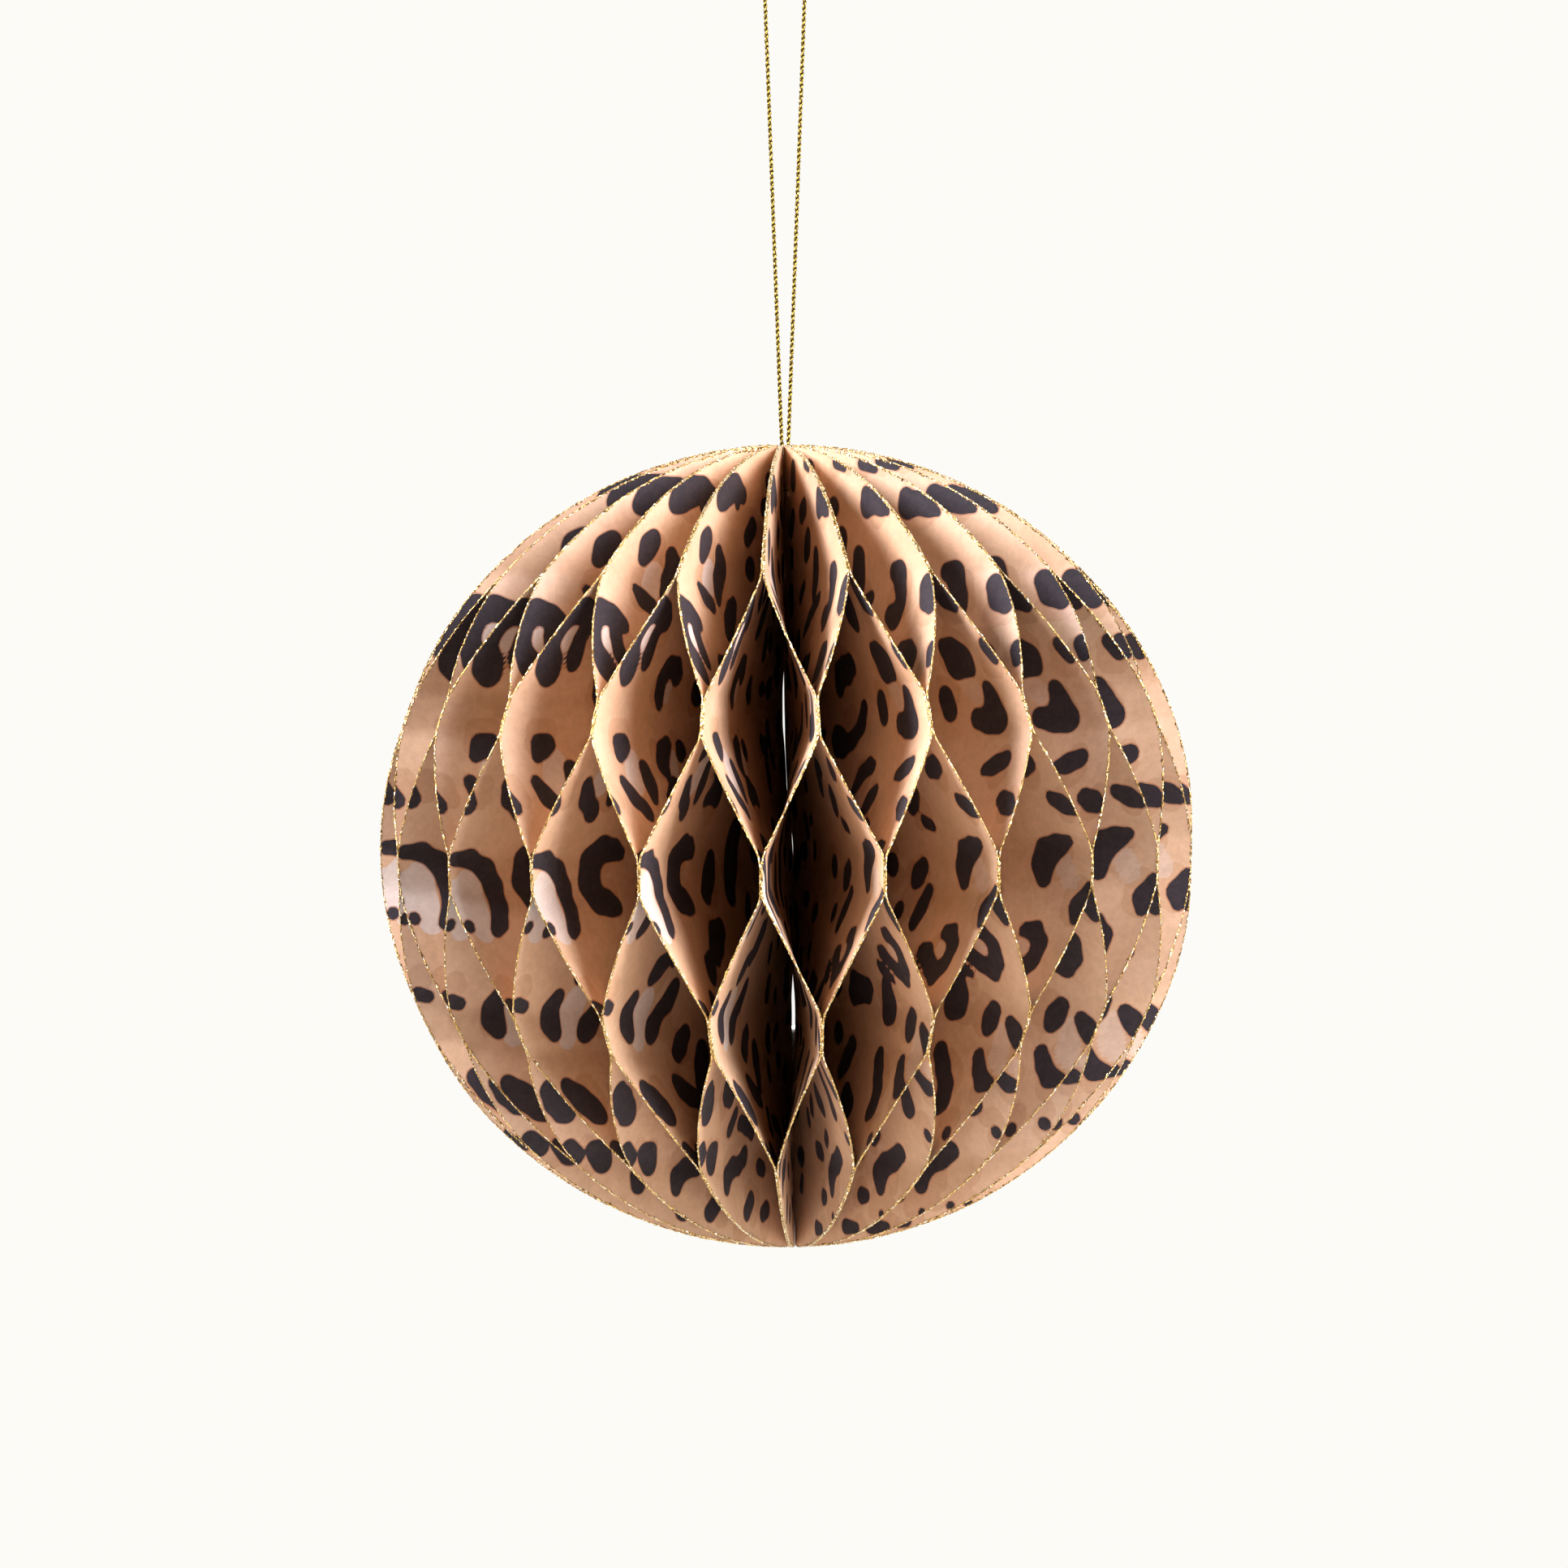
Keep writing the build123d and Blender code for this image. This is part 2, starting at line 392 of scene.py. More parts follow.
def tube_faces(rings, sides, start=0):
    """Quads round an open tube whose rings of points follow each other."""
    a = np.arange(rings - 1)[:, None] * sides
    b = np.arange(sides)[None, :]
    c = (b + 1) % sides
    quads = np.stack([a + b, a + c, a + sides + c, a + sides + b], -1).reshape(-1, 4)
    return quads + start


def twisted(name, line, plies, ply_radius, ply_offset, lay):
    """Plies laid round each other along a line. flat runs along and round each ply, and groove
    is -1 where a ply touches its neighbour and 1 on its outside."""
    sides = 9
    centre, along = spaced(line, 0.14 * MM)
    side, other = frames(centre)
    vertices, faces, flat, groove = [], [], [], []
    for ply in range(plies):
        turn = 2 * pi * along / lay + 2 * pi * ply / plies
        spread = side * np.cos(turn)[:, None] + other * np.sin(turn)[:, None]
        path = centre + spread * ply_offset
        ply_side, ply_other = frames(path)
        around = np.linspace(0, 2 * pi, sides, endpoint=False)
        ring = ply_side[:, None] * np.cos(around)[:, None] + ply_other[:, None] * np.sin(around)[:, None]
        swell = 1 + 0.07 * np.sin(along / lay * 2 * pi * 0.43 + ply * 2.1)[:, None, None]
        start = sum(len(v) for v in vertices)
        vertices.append((path[:, None] + ring * ply_radius * swell).reshape(-1, 3))
        faces.append(tube_faces(len(centre), sides, start))
        place = np.stack([
            np.broadcast_to(along[:, None], ring.shape[:2]),
            np.broadcast_to(np.sin(around / 2)[None] * ply_radius * 4, ring.shape[:2]),
            np.full(ring.shape[:2], ply * 0.01),
        ], -1)
        flat.append(place.reshape(-1, 3))
        groove.append((ring * spread[:, None]).sum(2).ravel())
    made = mesh_object(name, np.concatenate(vertices), np.concatenate(faces), True, materials=[yarn])
    set_attribute(made, "groove", np.concatenate(groove))
    set_attribute(made, "flat", np.concatenate(flat), "FLOAT_VECTOR")
    return made


cord_line = spline_points(route, "cord_route", 14)
cord = twisted("cord_strands", cord_line, 2, 0.13 * MM, 0.13 * MM, 1.45 * MM)
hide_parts("hanging_cord")
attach(cord, "left_end")

# the knot: the yarn wound three times round both strands, with a turn tucked across them
knot_route = [
    (
        (0.86 - 0.12 * abs(2 * t - 1)) * cos(2 * pi * 3 * t) + 0.05,
        (0.62 + 0.1 * sin(5 * t)) * sin(2 * pi * 3 * t),
        KNOT_HEIGHT + 1.0 * (2 * t - 1) + 0.12 * sin(2 * pi * 2 * t),
    )
    for t in np.linspace(0, 1, 25)
]
knot_line = spline_points(knot_route, "knot_route", 8)
knot = twisted("cord_knot_winding", knot_line, 2, 0.17 * MM, 0.15 * MM, 1.7 * MM)
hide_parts("cord_knot")
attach(knot, "left_end")

# --- print -------------------------------------------------------------------------
# Each printed shape is a chain of (distance from the axis, height, half-width), in millimetres.
# The fronts of the sheets face growing angles.
PRINT_REACH = 2.5  # distances to the print are worked out up to this far
JOIN = 0.9  # how softly two stretches of one shape run together
PRINT_SHIFT = 0.22  # how far the print lies off on one sheet or another
FRONT_INK = [
    [(14.4, 43, 1.2), (16.5, 44, 1.5), (18.5, 43.8, 1.8), (20.8, 43, 1.8), (22, 42.3, 1.2)],
    [(16.2, 43, 1.3), (16.3, 41.9, 0.8)],
    [(26.2, 38, 1.4), (27.3, 37.2, 1.5), (28.2, 35.9, 1.1)],
    [(22.8, 36, 1.2), (22.3, 34.3, 1.6), (23.7, 32.8, 1.3), (24.9, 31.2, 0.9), (25.4, 30.2, 0.6)],
    [(30.4, 32.2, 0.7), (29.5, 31, 1.1), (28, 30, 1.2)],
    [(34.9, 28.1, 1.2), (36.3, 28.9, 1.6), (38, 29.8, 1.4), (39.8, 29.3, 1.2), (41.3, 27.3, 1),
     (42, 25.3, 1.3), (41.4, 23.4, 1.9), (40.8, 22.2, 1.6)],
    [(36.2, 28.6, 1.3), (37.2, 26.4, 1), (37.4, 24.6, 1.2), (37.2, 23.4, 1.1)],
    [(28.2, 21.4, 1.2), (29.2, 22.6, 1.1), (31, 22.7, 1.2), (31.9, 21.5, 1.1), (31.8, 19.5, 0.95),
     (31.7, 18.2, 0.8)],
    [(22.7, 20.2, 1.2), (22.7, 19, 1.4)],
    [(19.8, 30, 0.9), (21.5, 28.9, 1.3), (23.3, 27.6, 1.4), (24.8, 26.4, 1)],
    [(12.5, 34, 1.6)],
    [(27.6, 12.7, 1.2), (28.2, 12, 0.9)],
    [(30.4, 13.6, 0.9), (32.1, 12.5, 1.2), (33.1, 11.1, 1.2), (32.6, 10.1, 0.8)],
    [(29.3, 7, 1.4), (31.5, 7.9, 1.5), (33.8, 6.9, 1)],
    [(37.9, 10.6, 1.3), (37.8, 8.9, 1.4), (38.1, 7.3, 0.9)],
    [(40.4, 14, 1.1), (41.8, 13.6, 1.3), (43, 12.4, 0.8)],
    [(44.3, 9.3, 1), (43.4, 7.7, 1.2), (41.3, 6, 1.1), (40.8, 5.6, 0.9)],
    [(49.3, 6.8, 1.1), (49.8, 8.2, 0.7)],
    [(33.4, 0.6, 0.9), (35, 1.1, 1.2), (37.2, 1.2, 1.6), (39, -0.2, 1.8), (39.3, -2.4, 1.9),
     (38.2, -4.7, 1.6), (36.2, -5.2, 1.5), (34.9, -5.6, 1.1)],
    [(49.5, 0.4, 0.9), (47.3, 0.4, 1), (45.1, -1, 1.2), (44, -3.2, 1.2), (43.7, -5.4, 1.1),
     (44.2, -7.3, 1), (45.1, -8.3, 0.8)],
    [(48.8, -7.6, 0.8)],
    [(27.2, -0.8, 1.5), (27.8, -2.6, 1.9), (29, -4.5, 1.5)],
    [(20, 2, 2.2), (20.5, -2, 2), (21, -5, 1.6)],
    [(27, -8.8, 1.3), (29.8, -9.9, 2), (32.2, -11.6, 1.6)],
    [(34.3, -12.2, 1.2), (35.9, -13.1, 1.4), (36.9, -14.1, 1.1)],
    [(30.6, -16, 1.5), (31.2, -17.2, 1.5), (33, -18.5, 1.1), (34.6, -20.3, 1.4), (35.2, -21.1, 1.2)],
    [(40, -16.5, 1.1), (40.8, -18, 1.2), (40.7, -19.5, 1.4), (40, -20.8, 1.1)],
    [(45.2, -17.4, 0.8), (46.5, -17, 0.9)],
    [(26.7, -21.5, 1.2), (28, -22.6, 1.4), (29.3, -23.8, 1.1)],
    [(22.9, -23.9, 1.5), (24.2, -25.9, 1.4), (25.5, -27.8, 1.1)],
    [(27.4, -29.2, 1.3), (29.2, -28.6, 1.3), (30.6, -27.7, 1.3), (31.4, -26.9, 0.9)],
    [(39.6, -27.4, 1.3), (38, -28.8, 1.6), (36.3, -30.2, 1.5), (35.4, -30.8, 1)],
    [(24.2, -31.5, 1.1), (25, -33, 1.2)],
    [(16, -34.5, 0.8), (18.5, -33.2, 1), (21.5, -32.6, 1)],
    [(29.7, -35.8, 1.6), (29.3, -36.9, 1.3), (31, -35.3, 1)],
    [(34.5, -35, 1.2), (33.2, -36, 1.2)],
    [(18.2, -37, 1.4), (20, -38, 1), (22, -38, 1.2), (23.7, -39, 1.2), (24, -40.3, 1)],
    [(15.8, -42.5, 1.2), (17.3, -43.8, 1.2)],
]
BACK_INK = [
    [(14, 46.9, 0.8), (16, 46.3, 0.6)],
    [(21.3, 42.9, 1.2), (21.4, 41.6, 1.3), (23.2, 42.1, 1.3), (24.8, 41.6, 1.1), (26.4, 41, 0.6)],
    [(15.2, 37.9, 1.3), (14.6, 36.8, 1.4), (13.7, 35.7, 1)],
    [(19.3, 35.5, 1.4), (19.2, 33.8, 1.3), (19.7, 32, 1.2), (20.2, 30.8, 0.9)],
    [(27.9, 33.8, 1.1), (29.2, 33.6, 1.4), (29.9, 32.2, 1.1), (30.8, 30.8, 1), (31.1, 29.6, 1),
     (30.4, 28.4, 1.5), (28.8, 28.7, 1.2)],
    [(36, 32.3, 1.3), (37.4, 31, 1.7), (38.9, 29.9, 1.2)],
    [(42.5, 24.8, 1), (43.4, 23.4, 0.9)],
    [(23, 30.5, 1), (21, 29.5, 1), (19, 28, 1), (17, 26.5, 0.8)],
    [(34.3, 24.2, 1.4), (36, 24, 1.6), (37.6, 23.4, 1.4), (35, 22.2, 1.4), (37.9, 22.1, 1.1)],
    [(32.1, 18.5, 1.4), (32.8, 16.9, 1.4)],
    [(40.3, 19.5, 1.1), (40.9, 17.8, 1.3), (41.8, 16, 1.6), (40, 15.8, 1.4), (38, 16, 1.3)],
    [(18.8, 20, 1.4), (19.8, 21.5, 1.4), (22, 22, 1.6), (24.5, 22.8, 1.4)],
    [(26.5, 17.5, 1.1), (25.6, 15.5, 1.1), (23.5, 13.8, 1.2), (21, 12.8, 1.3), (19, 13.3, 1.7),
     (17.5, 14, 1.4)],
    [(32.2, 10.6, 0.9), (30.4, 10.6, 1.1), (28.5, 9.4, 1.3), (27.3, 7.8, 1)],
    [(35.3, 7.6, 1.2), (34, 6.6, 1.3), (33, 5.6, 1)],
    [(35.5, 4, 0.9), (37, 3.6, 0.8)],
    [(44.6, 11.2, 1.2), (43, 10.6, 1.1), (41.3, 10.1, 0.8)],
    [(46.5, 6.8, 1), (48, 6.2, 1.1), (49.3, 5.6, 0.8)],
    [(46.8, 1.8, 0.7), (45, 1.2, 1.2), (43, 0.2, 1.7), (42.2, -1.2, 1.6), (42.3, -2.8, 1.2)],
    [(25.7, -1.5, 1.5)],
    [(33, -1.5, 1.2), (31.7, -2.6, 1.3), (30.9, -3.4, 0.9)],
    [(34.3, -4.5, 1.1), (33.6, -6.3, 1.2), (32.7, -8, 1.2)],
    [(28.3, -6.9, 1.2)],
    [(49.6, -3.8, 0.8), (48.4, -5.8, 1.1), (48.8, -7.2, 1)],
    [(41, -8.9, 0.9), (42.8, -9, 1), (44.2, -10.6, 1.1), (43.8, -12.4, 1.1), (42, -13.8, 1.2),
     (40, -12.9, 1.1), (38.2, -11.6, 1.2), (36.6, -11.3, 1)],
    [(37.6, -14.4, 0.6), (36, -13.6, 0.8), (34.4, -13, 0.9)],
    [(35.2, -14.6, 1), (34.2, -16.4, 1.6), (33, -18.2, 1.8), (31.9, -19, 1.3)],
    [(21.8, -17.2, 1.3), (24, -16, 1.9), (26.5, -16.2, 1.6), (28.5, -15.6, 1)],
    [(40.3, -18.6, 1.1), (39.3, -19.9, 1.3), (38.6, -21, 1)],
    [(43, -20.2, 1), (43.9, -21.3, 1.2), (44.2, -22.4, 0.9)],
    [(37.5, -24.3, 1), (38.3, -25.8, 1), (39.5, -27.2, 1.1), (41, -27.4, 0.9)],
    [(30.2, -24.1, 1.3), (31.4, -26, 1.2), (32.8, -28.2, 1.3), (32.8, -29.8, 1.3), (31.9, -30.6, 1.1)],
    [(35.4, -33.5, 0.9)],
    [(21, -23.4, 1.4), (20, -25, 1.4), (18.7, -26.4, 1.2)],
    [(16.5, -22, 1.5)],
    [(21.8, -29.2, 1.6), (24, -30.4, 1.4)],
    [(15.3, -36.3, 1.1), (17.2, -36.5, 1.2)],
    [(27.2, -36.1, 1.2), (25.2, -37.2, 1.2), (23.2, -37.8, 1.3), (21.8, -39, 1.5), (21.9, -40.6, 1.1)],
    [(22.5, -34, 0.8), (21, -35, 0.8)],
    [(22, -43.9, 0.6)],
    [(16, -46, 0.7), (13.5, -46, 1)],
]
FRONT_PALE = [
    [(26.2, 33.8, 1.7), (27.6, 32.2, 1.6)],
    [(38.8, 27.6, 1.9), (38.9, 25.4, 2)],
    [(29.9, 20.4, 1), (30.3, 19.2, 1)],
    [(30.6, 11.6, 1.5), (31.2, 9.8, 1.4)],
    [(40.2, 11.6, 1.8), (41.2, 9.6, 1.9)],
    [(47.5, -2.5, 1.8), (47.8, -5.5, 2.2), (46.8, -8, 1.6)],
    [(49.5, -3.5, 1.5)],
    [(36.8, -17, 1.8), (37.8, -19.5, 1.9), (38, -21.5, 1.4)],
]
BACK_PALE = [
    [(36.4, 20.2, 1.6), (38, 18.9, 1.6)],
    [(45.4, -1, 1.7), (46.4, -2.6, 1.8)],
    [(41.6, -21.5, 1.6), (41.3, -24, 1.9), (42.3, -25.5, 1.3)],
    [(41.6, -11, 1.5)],
    [(29.8, 6.9, 1.2), (30.6, 5.4, 1.2)],
]


INNER_CLEARANCE = 3.2  # between a shape near the core and the listed ones
INNER_LIMIT = 0.955  # of the ball's outline


def inner_print(seed, listed):
    """Shapes near the core, where the sheets are hidden deep in the cells."""
    rng = np.random.default_rng(seed)
    chains = []
    for z in np.arange(-43, 47, 5.2):
        for r in (6.5, 11.5, 16.5):
            r0, z0 = r + rng.uniform(-1.2, 1.2), z + rng.uniform(-1.5, 1.5)
            clear = all(
                np.hypot(r0 - a, z0 - b) > c + INNER_CLEARANCE for chain in listed for a, b, c in chain
            )
            if clear and np.hypot(r0 / BALL_RADIUS, z0 / HALF_HEIGHT) < INNER_LIMIT:
                turn, size = rng.uniform(0, 2 * pi), rng.uniform(0.8, 1.4)
                reach = rng.uniform(0.8, 2.2)
                chains.append([
                    (r0, z0, size),
                    (r0 + reach * cos(turn), z0 + reach * sin(turn), size * rng.uniform(0.7, 1.1)),
                ])
    return chains


def wash_print(seed, ink):
    """Soft patches of a darker tan inside and beside the dark shapes."""
    rng = np.random.default_rng(seed)
    chains = []
    for chain in ink:
        centre = np.mean([c[:2] for c in chain], 0)
        spread = max(np.hypot(c[0] - centre[0], c[1] - centre[1]) for c in chain)
        for k in range(2):
            turn = rng.uniform(0, 2 * pi)
            a = centre + rng.uniform(0.6, 2.4) * np.array([cos(turn), sin(turn)])
            b = a + rng.uniform(1.0, 2.6) * np.array([cos(turn + 1.9), sin(turn + 1.9)])
            size = rng.uniform(1.0, 1.7) + 0.16 * spread
            chains.append([(*a, size), (*b, size * rng.uniform(0.6, 1.0))])
    return chains


FRONT_INK += inner_print(11, FRONT_INK)
BACK_INK += inner_print(12, BACK_INK)
FRONT_WASH, BACK_WASH = wash_print(21, FRONT_INK), wash_print(22, BACK_INK)


def shape_distance(r, z, chains):
    """Distance in millimetres to the nearest printed shape, below zero inside one."""
    best = np.full(r.shape, PRINT_REACH)
    for chain in chains:
        c = np.array(chain if len(chain) > 1 else chain * 2, float)
        low = (c[:, :2] - c[:, 2:]).min(0) - PRINT_REACH
        high = (c[:, :2] + c[:, 2:]).max(0) + PRINT_REACH
        near = (r > low[0]) & (r < high[0]) & (z > low[1]) & (z < high[1])
        if not near.any():
            continue
        rn, zn, found = r[near], z[near], None
        for (r0, z0, a0), (r1, z1, a1) in zip(c, c[1:]):
            run = np.array([r1 - r0, z1 - z0])
            t = np.clip(((rn - r0) * run[0] + (zn - z0) * run[1]) / max(run @ run, 1e-6), 0, 1)
            away = np.hypot(rn - r0 - t * run[0], zn - z0 - t * run[1]) - (a0 + t * (a1 - a0))
            if found is None:
                found = away
            else:
                h = np.clip(0.5 + 0.5 * (away - found) / JOIN, 0, 1)
                found = away + (found - away) * h - JOIN * h * (1 - h)
        best[near] = np.minimum(best[near], found)
    return best


# --- sheets ------------------------------------------------------------------------
def fan_angle(plane):
    return FAN_MIDDLE + (plane - SHEETS / 2) * PITCH


def fan_offset(plane):
    return SEAM_OFFSET * (1 - 2 * plane / SHEETS)


def core_radius(height):
    share = np.minimum(1.0, np.abs(height) / (OUTER_LEVEL * LEVEL_PITCH))
    return CORE_END + CORE_BULGE * (1 - share**2)


def swing(height):
    """Place of an odd sheet between its two glue planes: +1 on the upper one, -1 on the lower."""
    steps = np.clip((height - MIDDLE_LEVEL) / LEVEL_PITCH, -OUTER_LEVEL, OUTER_LEVEL)
    nearest = np.round(steps)
    side = np.where(nearest % 2 == 0, 1, -1)
    away = np.abs(steps - nearest) * LEVEL_PITCH - STRIPE / 2
    slope = 4 * BEND_SHARE / BEND
    bent = np.where(away < BEND, 1 - slope * away**2 / (2 * BEND), 1 - slope * (away - BEND / 2))
    return side * np.where(away <= 0, 1.0, bent)


FAINT = 0.01  # keeps the pale patches on the back of a sheet at under half strength
LUMP_SHEET, LUMP_HEIGHT, LUMP_SPREAD, LUMP_SWELL = 18, 48.9, 0.35, 1.2  # glitter run together
WANDER_REACH = 8.0  # a sideways bend of a straight edge dies away over this distance
RIM_STEPS = 780
TIP = asin(sqrt(1 - ((CORE_END + 0.5) / BALL_RADIUS) ** 2))
ROW_ANGLES = np.linspace(-TIP, TIP, 219)
EQUATOR_CORE = CORE_END + CORE_BULGE
COLUMN_RADII = np.r_[np.arange(EQUATOR_CORE, 21.4, 1.15), np.linspace(21.6, BALL_RADIUS, 53)]
COLUMNS = (COLUMN_RADII - EQUATOR_CORE) / (BALL_RADIUS - EQUATOR_CORE)


def bead(centre, out, across, heights, swell, rng):
    """A crust of glitter grains round a cut edge: centre, the way out and the way across it."""
    rings, sides = len(centre), 8
    around = np.linspace(0, 2 * pi, sides, endpoint=False) + rng.uniform(-0.3, 0.3, (rings, sides))
    size = 1 + 0.28 * rng.standard_normal((rings, sides))
    size = size + 0.9 * (rng.random((rings, sides)) > 0.965)  # a few large grains
    size = np.clip(size, 0.45, 2.1) * swell[:, None]
    reach = np.where(np.cos(around) > 0, 0.085, 0.12) * np.cos(around) * size
    width = 0.105 * np.sin(around) * size
    shake = rng.uniform(-0.05, 0.05, (rings, sides, 1)) * np.array([0, 0, 1.0])
    points = centre[:, None] + out[:, None] * reach[..., None]
    points = points + across[:, None] * width[..., None] + shake
    return points.reshape(-1, 3), np.repeat(heights, sides), tube_faces(rings, sides)


def open_hole(r, z, hole):
    """Move the grid's points to the edge of the cord's hole, and say which cells are left."""
    rows, columns = r.shape
    gap = np.maximum(np.hypot(r - hole, z - RING_HEIGHT), 0.05)
    middle_r, middle_z = (r[:-1, :-1] + r[1:, 1:]) / 2, (z[:-1, :-1] + z[1:, 1:]) / 2
    kept = np.hypot(middle_r - hole, middle_z - RING_HEIGHT) > HOLE_RADIUS
    in_kept, in_cut = np.zeros(r.shape, bool), np.zeros(r.shape, bool)
    for dr, dc in ((0, 0), (0, 1), (1, 0), (1, 1)):
        in_kept[dr : rows - 1 + dr, dc : columns - 1 + dc] |= kept
        in_cut[dr : rows - 1 + dr, dc : columns - 1 + dc] |= ~kept
    edge = in_kept & in_cut
    r = np.where(edge, hole + (r - hole) * HOLE_RADIUS / gap, r)
    z = np.where(edge, RING_HEIGHT + (z - RING_HEIGHT) * HOLE_RADIUS / gap, z)
    return r.ravel(), z.ravel(), kept


def cut_edges(cells, r, z):
    """Walls between the two faces, along the sides of cells that no other cell shares."""
    count = len(r)
    starts, ends = cells.ravel(), np.roll(cells, -1, 1).ravel()
    lonely = ~np.isin(starts * count + ends, ends * count + starts)
    starts, ends = starts[lonely], ends[lonely]
    corners = np.stack([starts, ends, ends, starts], 1).ravel()
    side = np.tile([1.0, 1.0, -1.0, -1.0], len(starts))
    first = np.arange(len(starts)) * 4
    return r[corners], z[corners], side, np.stack([first + 3, first + 2, first + 1, first], 1)


def glitter_rim(placed, angle_at, seed, rng):
    """The crust of glitter along a sheet's curved edge."""
    arc = np.linspace(-TIP, TIP, RIM_STEPS)
    height, radius = HALF_HEIGHT * np.sin(arc), BALL_RADIUS * np.cos(arc)
    angle = np.radians(angle_at(height))
    out = np.stack([np.sin(angle) * np.cos(arc), -np.cos(angle) * np.cos(arc), np.sin(arc)], -1)
    across = np.stack([np.cos(angle), np.sin(angle), 0 * angle], -1)
    swell = np.ones(RIM_STEPS)
    if seed == LUMP_SHEET:
        swell += LUMP_SWELL * np.exp(-(((height - LUMP_HEIGHT) / LUMP_SPREAD) ** 2))
    return bead(placed(radius, height, 0.0), out, across, height, swell, rng)


def put_print(made, r, z, others, rng):
    """Distances to the printed shapes on both faces. The other points have no print."""
    shift_r, shift_z = rng.uniform(-PRINT_SHIFT, PRINT_SHIFT, 2)
    blank = np.full(others, PRINT_REACH)
    for field, front, back in (
        ("ink", FRONT_INK, BACK_INK), ("pale", FRONT_PALE, BACK_PALE), ("wash", FRONT_WASH, BACK_WASH)
    ):
        values = [shape_distance(r + shift_r, z + shift_z, shapes) for shapes in (front, back)]
        if field == "pale":
            values[1] = np.maximum(values[1], FAINT)
        set_attribute(made, field, np.concatenate([*values, blank]))


def leaf(name, seed, angle_at, offset_at, thickness, inner, hole, weight_at, stock, wander_at=None):
    """A half-disc sheet as a mesh: both faces, cut edges, the cord's hole and a glitter rim.
    Also gives each point's blend weight: 0 follows the sheet's first body and 1 its second."""
    rng = np.random.default_rng(seed)
    heights = HALF_HEIGHT * np.sin(ROW_ANGLES)
    rim = BALL_RADIUS * np.cos(ROW_ANGLES)
    r = inner(heights)[:, None] + (rim - inner(heights))[:, None] * COLUMNS[None]
    z = np.repeat(heights[:, None], len(COLUMNS), 1)
    index = np.arange(r.size).reshape(r.shape)
    r, z, kept = open_hole(r, z, hole)
    cells = np.stack([index[:-1, :-1], index[:-1, 1:], index[1:, 1:], index[1:, :-1]], -1)[kept]
    wall_r, wall_z, wall_side, wall_faces = cut_edges(cells, r, z)

    def placed(r, z, side):
        angle = np.radians(angle_at(z))
        offset = offset_at(z) + side * thickness / 2
        if wander_at is not None:
            offset = offset + wander_at(z) * np.exp((inner(z) - r) / WANDER_REACH)
        return np.stack([
            np.sin(angle) * r + np.cos(angle) * offset,
            -np.cos(angle) * r + np.sin(angle) * offset,
            z,
        ], -1)

    bead_points, bead_z, bead_faces = glitter_rim(placed, angle_at, seed, rng)
    points = np.concatenate([
        placed(r, z, 1.0), placed(r, z, -1.0), placed(wall_r, wall_z, wall_side), bead_points
    ])
    count = len(r)
    wall_start, bead_start = 2 * count, 2 * count + len(wall_r)
    faces = np.concatenate([
        cells[:, ::-1], cells + count, wall_faces + wall_start, bead_faces + bead_start
    ])
    is_bead = np.arange(len(faces)) >= len(faces) - len(bead_faces)
    is_face = np.arange(len(faces)) < 2 * len(cells)
    made = mesh_object(
        name, points * MM + np.array(BALL), faces, is_face, is_bead.astype(int), (stock, glitter)
    )
    put_print(made, r, z, len(points) - wall_start, rng)
    # the paper's grain: its place on the flat sheet, and a depth of its own for each face
    flat = points * MM
    flat[:wall_start, 0], flat[:wall_start, 1] = np.tile(r, 2) * MM, np.tile(z, 2) * MM
    flat[:count, 2], flat[count:wall_start, 2] = seed * 0.011, seed * 0.011 + 0.5
    set_attribute(made, "flat", flat, "FLOAT_VECTOR")
    grain = np.zeros(len(faces))
    grain[is_bead] = rng.random(len(bead_faces))
    set_attribute(made, "grain", grain, domain="FACE")
    return made, weight_at(np.concatenate([z, z, wall_z, bead_z]))


FRONT_SHEET = (SHEETS + 1) // 2
WAVES = np.random.default_rng(5).uniform(0, 2 * pi, SHEETS + 1)


def opened(plane, height):
    """Angle of a glue plane by height. The fan opens a little unevenly and leans with height."""
    held = min(1.0, plane / 5, (SHEETS - plane) / 5)  # the covers keep their ends flat
    wave = 0.22 * np.sin(height / 13 + plane * 0.31) + 0.2 * np.sin(height / 24 - plane * 0.23 + 2)
    wave = wave + 0.05 * np.sin(height / 9 + WAVES[plane])
    front = 0.4 * np.exp(-(((plane - SHEETS / 2) / 7) ** 2))
    return fan_angle(plane) + held * (wave + front - 0.3 * height / HALF_HEIGHT)


def core_reach(number, height):
    """How far a straight edge reaches into the core: most between the glue levels, and at the front."""
    front = 1.2 * np.exp(-(((number - FRONT_SHEET) / 1.8) ** 2))
    between_levels = 2.2 * (1 - swing(height) ** 2) * (1 - 0.3 * front)
    return (between_levels + front) * (1 - (height / HALF_HEIGHT) ** 2)


def wander(plane, height):
    """Sideways bend of the straight edges in the core, where the front sheets do not lie true."""
    # glue plane, height and shift of each bend
    bends = (
        (22, 17.2, -0.25), (21, -1.7, 0.5), (22, -20.6, 0.55), (20, -20.6, 0.5), (20.5, -10, 0.55)
    )
    return sum(
        shift * np.exp(-(((plane - p) / 0.9) ** 2) - ((height - h) / 7.5) ** 2) for p, h, shift in bends
    )


def between(lower, upper, place):
    return (lower + upper) / 2 + place * (upper - lower) / 2


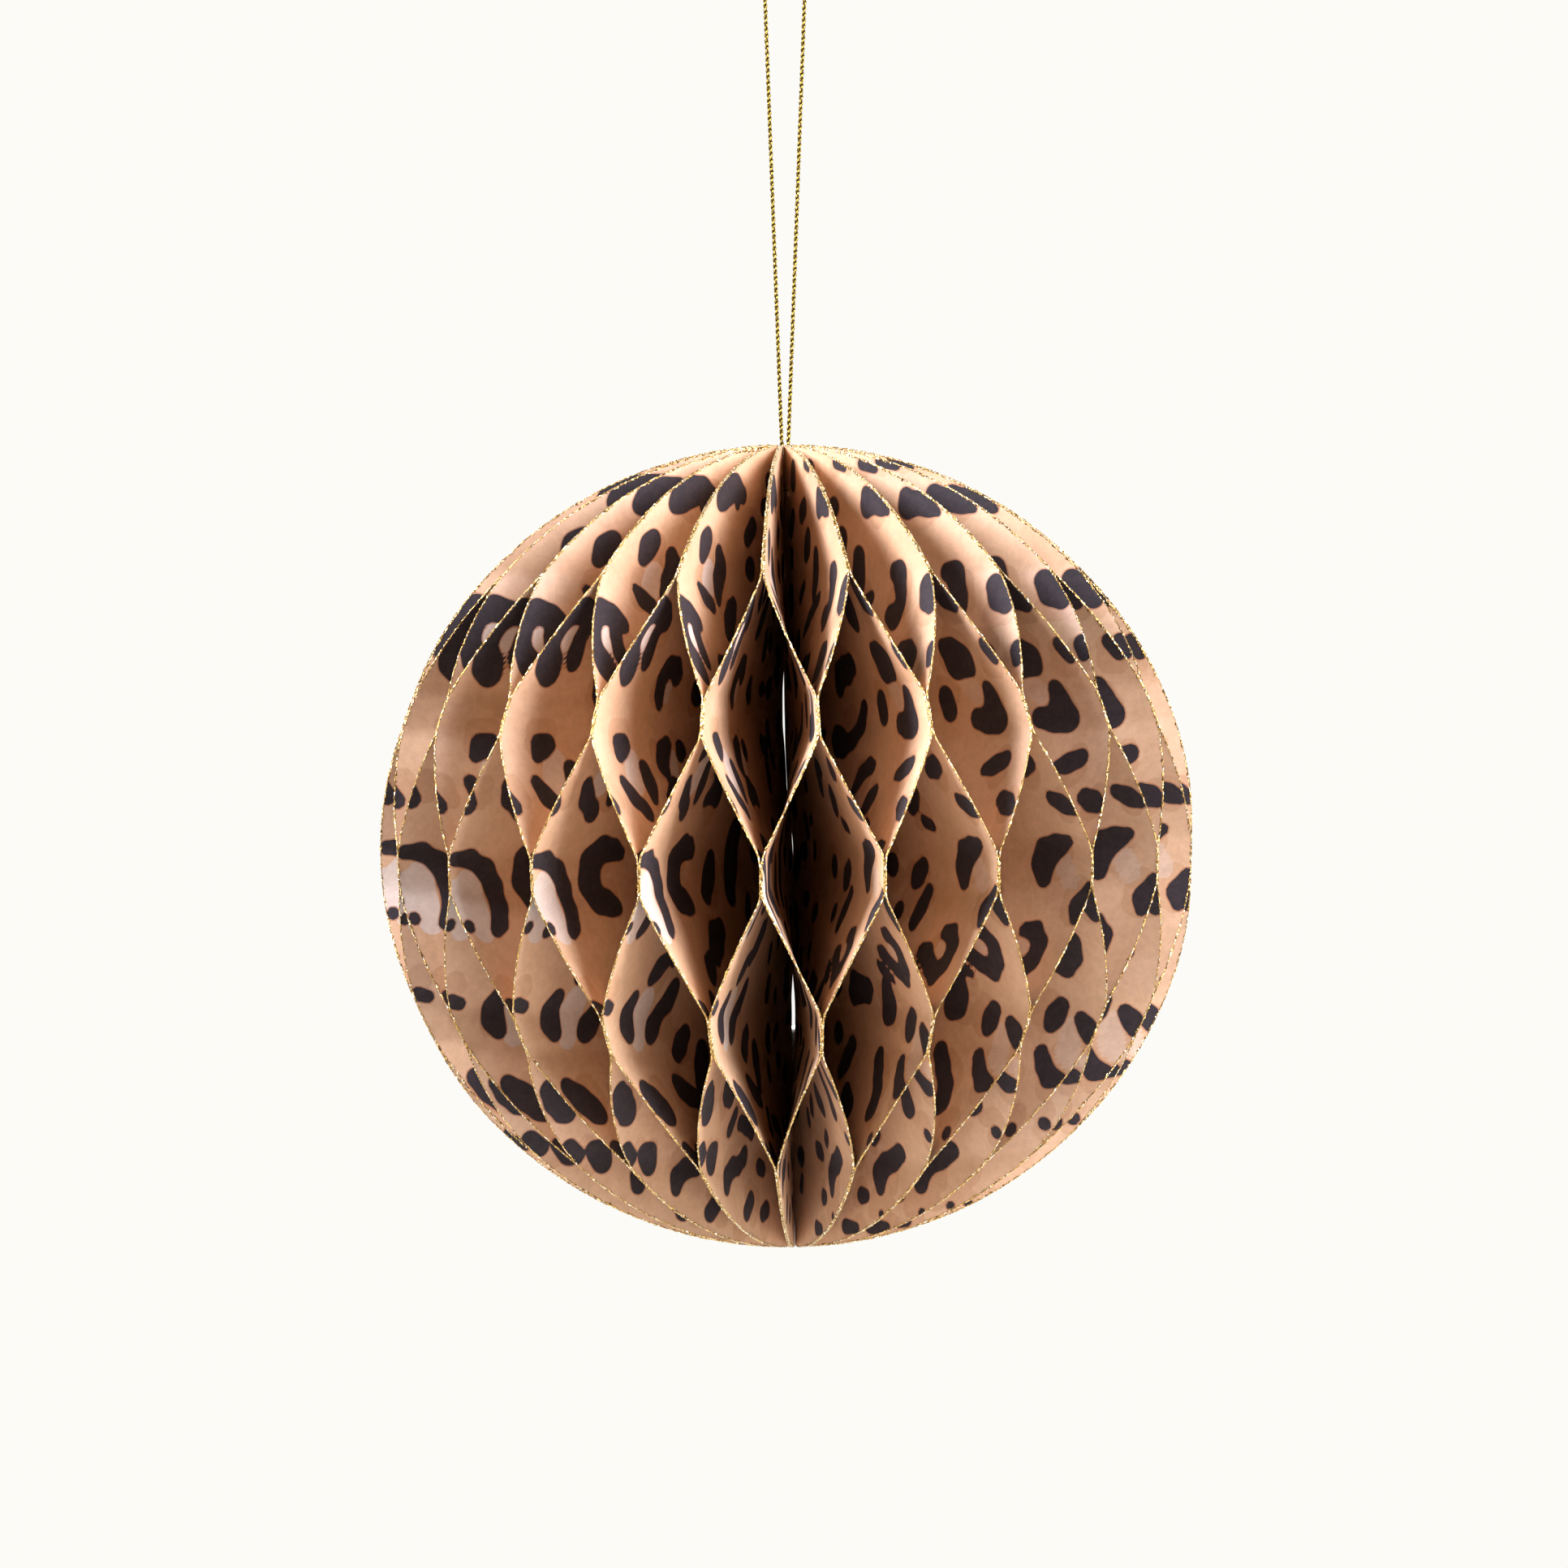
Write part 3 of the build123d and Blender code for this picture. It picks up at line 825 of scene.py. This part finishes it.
for number in range(1, SHEETS + 1):
    parity = 1 if number % 2 == 1 else -1
    offset = (fan_offset(number - 1) + fan_offset(number)) / 2
    offset_step = (fan_offset(number) - fan_offset(number - 1)) / 2 - CLOSED_PITCH / 2
    ring_offset = offset + parity * float(swing(np.array(RING_HEIGHT))) * offset_step
    made, weights = leaf(
        f"paper_sheet_{number:02d}",
        number,
        lambda h, k=number, p=parity: between(opened(k - 1, h), opened(k, h), p * swing(h)),
        lambda h, o=offset, s=offset_step, p=parity: o + p * swing(h) * s,
        THICKNESS,
        lambda h, k=number: core_radius(h) - core_reach(k, h),
        sqrt(RING_RADIUS**2 - ring_offset**2),
        lambda h, p=parity: (p * swing(h) + 1) / 2,
        paper,
        lambda h, k=number, p=parity: wander(k - 0.5 + p * swing(h) / 2, h),
    )
    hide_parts(f"sheet_{number:02d}")
    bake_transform(made)

# covers: flat half-discs of card on both ends of the stack
for side, plane in (("left", 0), ("right", SHEETS)):
    towards_seam = -1 if side == "left" else 1
    made, _ = leaf(
        f"card_cover_{side}",
        100 + plane,
        lambda h, p=plane: fan_angle(p) + 0 * h,
        lambda h, p=plane, t=towards_seam: fan_offset(p) + t * COVER / 2 + 0 * h,
        COVER,
        lambda h: CORE_END + 0 * h,
        sqrt(RING_RADIUS**2 - SEAM_OFFSET**2),
        lambda h: 0 * h,
        card,
    )
    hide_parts(f"{side}_cover")
    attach(made, f"{side}_end")

for name in ("upper_left_magnet", "lower_left_magnet", "upper_right_magnet", "lower_right_magnet"):
    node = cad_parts[name]
    node.data.materials.clear()
    node.data.materials.append(nickel)

# --- studio ------------------------------------------------------------------------
BACKGROUND = rgb(252, 251, 247)
scene = bpy.context.scene
scene.view_settings.view_transform = "Standard"
scene.view_settings.look = "None"


def seen_or_lit(n, seen, lit_shader):
    """The camera sees an even pale tone; other rays meet the second shader."""
    path = n.add("LightPath")
    glow = n.add("Emission")
    glow.inputs["Color"].default_value = seen
    mixer = n.add("MixShader")
    n.put(path.outputs["Is Camera Ray"], mixer.inputs[0])
    n.put(lit_shader.outputs[0], mixer.inputs[1])
    n.put(glow.outputs[0], mixer.inputs[2])
    return mixer


world = bpy.data.worlds.new("studio")
scene.world = world
world.use_nodes = True
n = Nodes(world.node_tree)
ambient = n.add("Background")
ambient.inputs["Color"].default_value = (1.0, 0.88, 0.74, 1)
ambient.inputs["Strength"].default_value = 0.07
out = n.add("OutputWorld")
n.put(seen_or_lit(n, BACKGROUND, ambient).outputs[0], out.inputs[0])

material, n = new_material("floor")
plain = n.add("BsdfDiffuse")
plain.inputs["Color"].default_value = (0.8, 0.79, 0.77, 1)
out = n.add("OutputMaterial")
n.put(seen_or_lit(n, BACKGROUND, plain).outputs[0], out.inputs[0])
FLOOR_SIZE, FLOOR_DROP = 8, 0.9  # in metres; the drop is from the ball's centre
bpy.ops.mesh.primitive_plane_add(size=FLOOR_SIZE, location=(0, 0, BALL.z - FLOOR_DROP))
floor = bpy.context.object
floor.name = "floor"
floor.data.materials.append(material)


def lamp(name, place, size, power, colour=(1, 1, 1)):
    data = bpy.data.lights.new(name, "AREA")
    data.shape, data.size, data.energy, data.color = "SQUARE", size, power, colour
    made = bpy.data.objects.new(name, data)
    bpy.context.scene.collection.objects.link(made)
    made.location = BALL + Vector(place)
    made.rotation_euler = (BALL - made.location).to_track_quat("-Z", "Y").to_euler()


COOL, WARM = (0.95, 1.03, 1.32), (1.0, 0.95, 0.86)
lamp("left_softbox", (-1.2, -0.45, 0.85), 0.6, 66, COOL)
lamp("right_softbox", (1.0, -0.75, 0.55), 0.8, 48, COOL)
lamp("low_left_fill", (-0.9, -0.7, -0.65), 0.8, 4, WARM)
lamp("low_right_fill", (0.9, -0.7, -0.7), 0.8, 7)
lamp("back_fill", (0.3, 1.5, 0.8), 0.8, 22)
